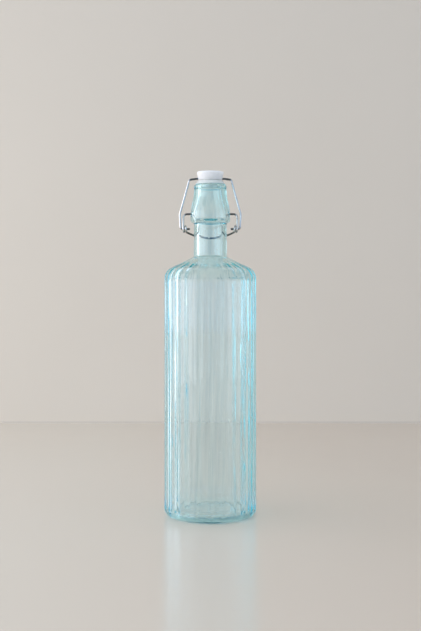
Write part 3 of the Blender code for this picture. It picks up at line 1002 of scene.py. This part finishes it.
@dataclass
class LeverWire:
    """The lever: from a dimple out and down, round an eye, and back under to the yoke behind the neck."""

    datums: Datums
    glass: GlassBottle
    wire: Wire
    bail_radius: float = 0.00095
    seat_gap: float = 0.0003
    standoff: float = 0.0062
    corner_bend: float = 0.0034
    eye_bore_gap: float = 0.0006
    eye_turn_gap: float = 0.0004
    yoke_slope: float = math.radians(14.5)
    yoke_neck_gap: float = 0.0018
    yoke_run: float = 0.0020
    yoke_bend: float = 0.0025
    coil_steps: int = 60

    def __post_init__(self) -> None:
        """Works out the eye's size and the lever's reach."""
        self.reach = self.glass.bulb_radius + self.standoff
        self.eye_radius = self.bail_radius + self.eye_bore_gap + self.wire.radius

    def eye_coil(self) -> Points:
        """The eye: a helix about the eye's axis that steps inwards by one wire and a gap each turn.

        Returns:
            Its part of the centre line.
        """
        drop = self.datums.pivot_z - self.datums.eye_z
        over = -self.datums.eye_y
        start = math.atan2(drop, over) + math.acos(self.eye_radius / math.hypot(over, drop))
        turns = np.linspace(start, 3.5 * math.pi - self.yoke_slope, self.coil_steps)
        pitch = 2.0 * self.wire.radius + self.eye_turn_gap
        return np.column_stack([
            self.reach - pitch * (turns - start) / TAU,
            self.datums.eye_y + self.eye_radius * np.cos(turns),
            self.datums.eye_z + self.eye_radius * np.sin(turns),
        ])

    def yoke(self, leaves: Points) -> Points:
        """From the eye back round the neck to the middle, in a plane that slopes down to the back.

        Args:
            leaves: Where the wire leaves the eye.

        Returns:
            The yoke's half of the centre line.
        """
        tilt = math.tan(self.yoke_slope)
        back = np.array([0.0, math.cos(self.yoke_slope), -math.sin(self.yoke_slope)])
        corner = leaves + back * self.yoke_run
        radius = self.glass.neck_radius + self.yoke_neck_gap + self.wire.radius
        touch = math.atan2(corner[1], corner[0]) + math.acos(radius / math.hypot(corner[0], corner[1]))
        angles = np.linspace(touch, math.pi / 2, 24)
        y = radius * np.sin(angles)
        round_neck = np.column_stack([radius * np.cos(angles), y, leaves[2] - (y - leaves[1]) * tilt])
        leg = rounded([leaves, corner, round_neck[0]], [self.yoke_bend], 8)
        return chain(leg, round_neck)

    def centre_line(self) -> Points:
        """The whole centre line, from the tip in one dimple to the other.

        Returns:
            Its points.
        """
        bulb = float(self.glass.taper_radius(np.array(self.datums.pivot_z)))
        tip = (bulb - self.glass.dimple_depth + self.seat_gap, 0.0, self.datums.pivot_z)
        coil = self.eye_coil()
        arm = rounded([tip, (self.reach, 0.0, self.datums.pivot_z), coil[0]], [self.corner_bend], 8)
        half = split_long(chain(arm, coil, self.yoke(coil[-1])), self.wire.longest_leg)
        return both_sides(half)

    def build(self, finish: Material) -> None:
        """Builds and dresses the lever.

        Args:
            finish: The steel material.
        """
        path = self.centre_line()
        across = np.ones(path.shape) * np.array([1.0, 0.0, 1.0])
        across[path[:, 0] < 0.0] = (-1.0, 0.0, 1.0)
        mesh = self.wire.mesh("lever_spring_wire", path, across)
        hand_over("lever_spring_wire", mesh, finish, Body.LEVER, "lever_wire")


@dataclass
class BailWire:
    """The bail: a stub in each eye, two sides that lean in to the top, and the crossbar between them."""

    datums: Datums
    glass: GlassBottle
    lever: LeverWire
    wire: Wire
    side_gap: float = 0.0005
    bulge: float = 0.0008
    bulge_height: float = 0.0130
    lip_gap: float = 0.0042
    corner_drop: float = 0.0008
    stub_gap: float = 0.0036
    bend: float = 0.0020
    side_bend: float = 0.0080
    crossbar_reach: float = 0.0128

    def centre_line(self) -> Points:
        """The whole centre line, in the plane that leans from the eyes to the crossbar.

        Returns:
            Its points.
        """
        rise = self.datums.crossbar_z - self.datums.eye_z
        lean = -self.datums.eye_y / rise
        reach = self.lever.reach + self.lever.wire.radius + self.side_gap + self.wire.radius
        flat = [
            (self.glass.neck_radius + self.stub_gap, 0.0),
            (reach, 0.0),
            (reach + self.bulge, self.bulge_height),
            (self.glass.lip_radius + self.lip_gap, rise - self.corner_drop),
            (self.crossbar_reach, rise),
            (0.0, rise),
        ]
        half = rounded(flat, [self.bend, self.side_bend, self.bend, self.bend], 8)
        half = split_long(half, self.wire.longest_leg)
        x, up = half[:, 0], half[:, 1]
        return both_sides(np.column_stack([x, self.datums.eye_y + lean * up, self.datums.eye_z + up]))

    def build(self, finish: Material) -> None:
        """Builds and dresses the bail.

        Args:
            finish: The steel material.
        """
        rise = self.datums.crossbar_z - self.datums.eye_z
        across = np.array([0.0, 1.0, self.datums.eye_y / rise])
        mesh = self.wire.mesh("bail_spring_wire", self.centre_line(), across)
        hand_over("bail_spring_wire", mesh, finish, Body.BAIL, "bail_wire")


@dataclass
class Stopper:
    """The stopper: a flared cap over a stem with a bead, drilled across for the crossbar."""

    datums: Datums
    base_radius: float = 0.0106
    flare: float = 0.0014
    height: float = 0.00809
    crossbar_height: float = 0.0016
    edge: float = 0.0009
    foot_edge: float = 0.00025
    crown: float = 0.0003
    gate_radius: float = 0.0016
    gate_depth: float = 0.0002
    stem_radius: float = 0.0053
    stem_length: float = 0.0038
    bead: float = 0.0009
    bead_height: float = 0.0012
    plug_depth: float = 0.0028
    nose: float = 0.0012
    small_edge: float = 0.0003
    drill_radius: float = 0.00115
    drill_flare: float = 0.0003
    drill_columns: int = 48
    sharp_from: float = math.radians(40.0)
    columns: int = 160

    def profile(self) -> Points:
        """Nose, bead, stem, cap and crown, with the gate's shallow well in the crown.

        Returns:
            The profile going up.
        """
        bottom = self.datums.crossbar_z - self.crossbar_height
        top = bottom + self.height
        bead_top = bottom - self.stem_length
        nose = bead_top - self.plug_depth
        plug = self.stem_radius + self.bead
        cap = self.base_radius + self.flare
        lower = [(0.0, nose), (plug - self.nose, nose), (plug, bead_top - self.bead_height), (plug, bead_top)]
        lower += [(self.stem_radius, bead_top), (self.stem_radius, bottom), (self.base_radius, bottom)]
        upper = [(cap, top - self.crown), (0.5 * cap, top)]
        small = self.small_edge
        bends = [small, small, small, small, small, self.foot_edge, self.edge]
        side = rounded(lower + upper, bends, 5)
        radius = np.linspace(0.5 * cap, 0.02 * cap, 24)
        well = smooth_step((radius - self.gate_radius) / (0.4 * self.gate_radius))
        crown = np.column_stack([radius, top - self.gate_depth * (1.0 - well)])
        return split_long(chain(side[1:], crown), 0.8 * MM)

    def drill(self) -> Object:
        """The cutter for the crossbar's hole: a bar along X, flared where it leaves the cap.

        Returns:
            The cutter.
        """
        mouth = self.base_radius + self.flare * self.crossbar_height / self.height
        steps = np.array([0.0, mouth - self.drill_flare, mouth + 3.0 * self.drill_flare, 2.0 * mouth])
        widths = self.drill_radius + np.array([0.0, 0.0, 4.0 * self.drill_flare, 4.0 * self.drill_flare])
        x = np.concatenate([-steps[:0:-1], steps])
        radii = np.concatenate([widths[:0:-1], widths])
        turn = all_round(self.drill_columns)
        y = radii[:, None] * np.cos(turn)
        z = self.datums.crossbar_z + radii[:, None] * np.sin(turn)
        rings = np.stack([np.repeat(x[:, None], len(turn), axis=1), y, z], axis=-1)
        ends = [(x[0], 0.0, self.datums.crossbar_z), (x[-1], 0.0, self.datums.crossbar_z)]
        return new_object("drill", build_mesh("drill", rings, ends))

    def build(self, finish: Material) -> None:
        """Builds, drills and dresses the stopper.

        Args:
            finish: The plastic material.
        """
        profile = self.profile()
        poles = [(0.0, 0.0, profile[0, 1]), (0.0, 0.0, profile[-1, 1])]
        shape = build_mesh("stopper_blank", turned(profile, all_round(self.columns)), poles)
        blank = new_object("stopper_blank", shape)
        drill = self.drill()
        cut = blank.modifiers.new("drill", "BOOLEAN")
        cut.object = drill
        cut.operation = "DIFFERENCE"
        graph = bpy.context.evaluated_depsgraph_get()
        mesh = bpy.data.meshes.new_from_object(blank.evaluated_get(graph))
        for spent in (blank, drill):
            bpy.data.objects.remove(spent)
        mesh.set_sharp_from_angle(angle=self.sharp_from)
        hand_over("stopper_cap", mesh, finish, Body.STOPPER, "stopper")


@dataclass
class Washer:
    """The sealing washer round the stem: a soft-edged ring whose outer side leans in towards the cap."""

    stopper: Stopper
    radius: float = 0.0136
    taper: float = 0.0026
    thickness: float = 0.0032
    gap: float = 0.0003
    edge: float = 0.00035
    columns: int = 128

    def profile(self) -> Points:
        """The closed section, from the middle of its underside out, up, in and down again.

        Returns:
            The section's points.
        """
        top = self.stopper.datums.crossbar_z - self.stopper.crossbar_height - self.gap
        bottom = top - self.thickness
        hole = self.stopper.stem_radius + self.gap
        middle = ((hole + self.radius) / 2.0, bottom)
        corners = [middle, (self.radius, bottom), (self.radius - self.taper, top)]
        corners += [(hole, top), (hole, bottom), middle]
        return split_long(rounded(corners, [self.edge] * 4, 5), 0.8 * MM)[:-1]

    def build(self, finish: Material) -> None:
        """Builds and dresses the washer.

        Args:
            finish: The silicone material.
        """
        mesh = build_mesh("sealing_washer", turned(self.profile(), all_round(self.columns)), None)
        hand_over("sealing_washer", mesh, finish, Body.STOPPER, "gasket")


@dataclass
class Studio:
    """A pale floor and wall, a soft window on the left, a dim room and the camera."""

    wall_y: float = 0.551
    floor_reach: float = 3.0
    wall_left: float = 0.6
    wall_right: float = 1.0
    wall_height: float = 0.8
    wall_colour: tuple = (0.728, 0.637, 0.518)
    # Painted shade at the foot of the wall: its height and how dark it is
    corner_shade_height: float = 0.0035
    joint_shade: float = 0.90
    patch_shade: float = 0.99
    wall_scales: tuple = (4.0, 300.0)
    wall_roughness: tuple = (0.75, 0.85)
    # Painted light and shade of the floor: lighter on the window's side, darker on the right
    floor_lit_left: tuple = (0.690, 0.617, 0.520)
    floor_right: tuple = (0.648, 0.556, 0.460)
    floor_turn: float = 0.15
    floor_gap: float = 0.0001
    floor_patches: float = 0.1
    floor_scales: tuple = (6.0, 400.0)
    floor_roughness: tuple = (0.16, 0.20)
    horizon: tuple = (0.90, 0.95, 1.02)
    horizon_left: tuple = (1.72, 1.68, 1.80)
    side_left: tuple = (1.02, 1.10, 1.36)
    side_right: tuple = (0.84, 1.00, 1.27)
    camera_side: tuple = (0.22, 0.45, 0.75)
    ceiling_left: tuple = (0.92, 0.97, 1.06)
    ceiling_right: tuple = (0.56, 0.64, 0.72)
    daylight: tuple = (0.98, 1.0, 1.07)
    window_span: float = math.radians(74.0)
    window_height: float = 0.85
    window_turn: float = math.radians(78.0)
    window_away: float = 1.1
    window_radiance: float = 1.5
    camera_back: float = 0.850
    camera_height: float = 0.205
    focal_pixels: float = 953.7
    frame_pixels: float = 631.0
    sensor_mm: float = 36.0
    horizon_row: float = 283.5
    axis_column: float = 210.3
    frame_width_pixels: float = 421.0

    def build(self, grain: GrainGroup) -> None:
        """Builds the whole studio.

        Args:
            grain: The shared grain effect, for the floor and the wall.
        """
        self.floor(grain)
        self.wall(grain)
        self.world()
        self.window()
        self.camera()
        self.light_paths()
        bpy.context.scene.view_settings.view_transform = "Standard"

    def panel(self, name: str, corners: Sequence[Sequence[float]], finish: Material) -> None:
        """Makes a flat stage surface.

        Args:
            name: Its name.
            corners: Its four corners.
            finish: Its material.
        """
        mesh = bpy.data.meshes.new(name)
        mesh.from_pydata(corners, [], [(0, 1, 2, 3)])
        mesh.materials.append(finish)
        new_object(name, mesh)

    def floor(self, grain: GrainGroup) -> None:
        """The floor: pale paint with a low gloss, which mirrors the bottle faintly, with painted light on the
        left, the window's side, and painted shade on the right.

        Args:
            grain: The shared grain.
        """
        graph = Dressing("floor_paint")
        place = graph.place()
        surface_marks = grain.lay(graph, place, self.floor_scales, self.floor_roughness)
        # Painted light and shade: lighter on the left, the window's side, and darker to the right
        side = graph.span(graph.part(place, "X"), (-self.floor_turn, self.floor_turn), (0.0, 1.0))
        paint = graph.blend(side, self.floor_lit_left, self.floor_right)
        faint = graph.math("MULTIPLY", surface_marks["Patches"], self.floor_patches)
        graph.dress({"Base Color": graph.blend(faint, paint, self.floor_right), "Roughness": surface_marks["Value"]})
        far = self.floor_reach
        z = -self.floor_gap
        self.panel("floor", [(-far, -far, z), (far, -far, z), (far, far, z), (-far, far, z)], graph.material)

    def wall(self, grain: GrainGroup) -> None:
        """The wall: matt paint, seen from the front only, with painted shade where it meets the floor.

        Args:
            grain: The shared grain.
        """
        graph = Dressing("wall_paint")
        place = graph.place()
        surface_marks = grain.lay(graph, place, self.wall_scales, self.wall_roughness)
        darker = tuple(self.patch_shade * level for level in self.wall_colour)
        shade = tuple(self.joint_shade * level for level in self.wall_colour)
        paint = graph.blend(surface_marks["Patches"], self.wall_colour, darker)
        # Painted shade: a darker band at the foot of the wall, where it meets the floor
        joint = graph.span(graph.part(place, "Z"), (0.4 * self.corner_shade_height, self.corner_shade_height), (1.0, 0.0))
        graph.dress({"Base Color": graph.blend(joint, paint, shade), "Roughness": surface_marks["Value"]})
        back = graph.add("NewGeometry").outputs["Backfacing"]
        clear = graph.add("BsdfTransparent").outputs[0]
        mixed = graph.add("MixShader", {0: back, 1: graph.shader.outputs[0], 2: clear})
        graph.feed(graph.output, {"Surface": mixed.outputs[0]})
        left, right, y, top = -self.wall_left, self.wall_right, self.wall_y, self.wall_height
        self.panel("wall", [(left, y, 0.0), (right, y, 0.0), (right, y, top), (left, y, top)], graph.material)

    def world(self) -> None:
        """The room: pale, brightest behind on the left, cooler at the sides and dark behind the camera.

        Overhead it is dimmer on the right. The camera sees the plain horizon colour in every direction.
        """
        world = bpy.data.worlds.new("room")
        world.use_nodes = True
        graph = Graph(world.node_tree)
        direction = graph.add("TexCoord").outputs["Generated"]
        axes = graph.add("SeparateXYZ", {0: direction}).outputs
        sides = graph.span(axes["Y"], (0.3, -0.3), (0.0, 1.0))
        behind = graph.span(axes["Y"], (-0.86, -0.96), (0.0, 1.0))
        across = graph.span(axes["X"], (-0.5, 0.5), (0.0, 1.0))
        above = graph.span(axes["Z"], (0.25, 0.75), (0.0, 1.0))
        left = graph.span(axes["X"], (-0.35, -0.55), (0.0, 1.0))
        side = graph.blend(graph.span(axes["X"], (-0.3, 0.3), (0.0, 1.0)), self.side_left, self.side_right)
        colour = graph.blend(sides, graph.blend(left, self.horizon, self.horizon_left), side)
        colour = graph.blend(behind, colour, self.camera_side)
        colour = graph.blend(above, colour, graph.blend(across, self.ceiling_left, self.ceiling_right))
        seen = graph.add("LightPath").outputs["Is Camera Ray"]
        colour = graph.blend(seen, colour, self.horizon)
        graph.feed(graph.tree.nodes["Background"], {"Color": colour})
        bpy.context.scene.world = world

    def light_paths(self) -> None:
        """Lets light cross the glass's many faces as often, and as sharply, as it does in a real bottle."""
        paths = bpy.context.scene.cycles
        paths.max_bounces = paths.transmission_bounces = paths.glossy_bounces = 40
        paths.diffuse_bounces = 8
        paths.blur_glossy = 0.0

    def window(self) -> None:
        """The window: a soft rectangular lamp on the floor, left of the camera, that faces the bottle."""
        across = 2.0 * self.window_away * math.tan(self.window_span / 2.0)
        height = self.window_height
        lamp = bpy.data.lights.new("window", "AREA")
        lamp.shape = "RECTANGLE"
        lamp.size = across
        lamp.size_y = height
        lamp.energy = self.window_radiance * math.pi * across * height
        lamp.color = self.daylight
        made = new_object("window", lamp)
        turn = self.window_turn
        made.location = (-self.window_away * math.sin(turn), -self.window_away * math.cos(turn), height / 2.0)
        made.rotation_euler = (math.pi / 2, 0.0, -turn)
        made.visible_camera = False

    def camera(self) -> None:
        """The camera: level, in front of the bottle, raised in the picture by its shift."""
        view = bpy.data.cameras.new("camera")
        view.lens = self.focal_pixels / self.frame_pixels * self.sensor_mm
        view.sensor_width = self.sensor_mm
        view.shift_x = (self.frame_width_pixels / 2.0 - self.axis_column) / self.frame_pixels
        view.shift_y = (self.horizon_row - self.frame_pixels / 2.0) / self.frame_pixels
        view.clip_start = 0.01
        made = new_object("camera", view)
        made.location = (0.0, -self.camera_back, self.camera_height)
        made.rotation_euler = (math.pi / 2, 0.0, 0.0)
        bpy.context.scene.camera = made


def main() -> None:
    """Builds the pieces in order, then the studio."""
    logging.basicConfig(level=logging.INFO, format="%(name)s: %(message)s")
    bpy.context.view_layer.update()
    datums = Datums.read(frame)
    grain = GrainGroup()
    steel = SteelFinish().build(grain)
    glass = GlassBottle(datums)
    glass.build(GlassFinish().build(grain))
    lever = LeverWire(datums, glass, Wire(0.0009))
    lever.build(steel)
    BailWire(datums, glass, lever, Wire(0.00095)).build(steel)
    stopper = Stopper(datums)
    stopper.build(PLASTIC.build(grain))
    Washer(stopper).build(SILICONE.build(grain))
    Studio().build(grain)


if __name__ == "__main__":
    main()
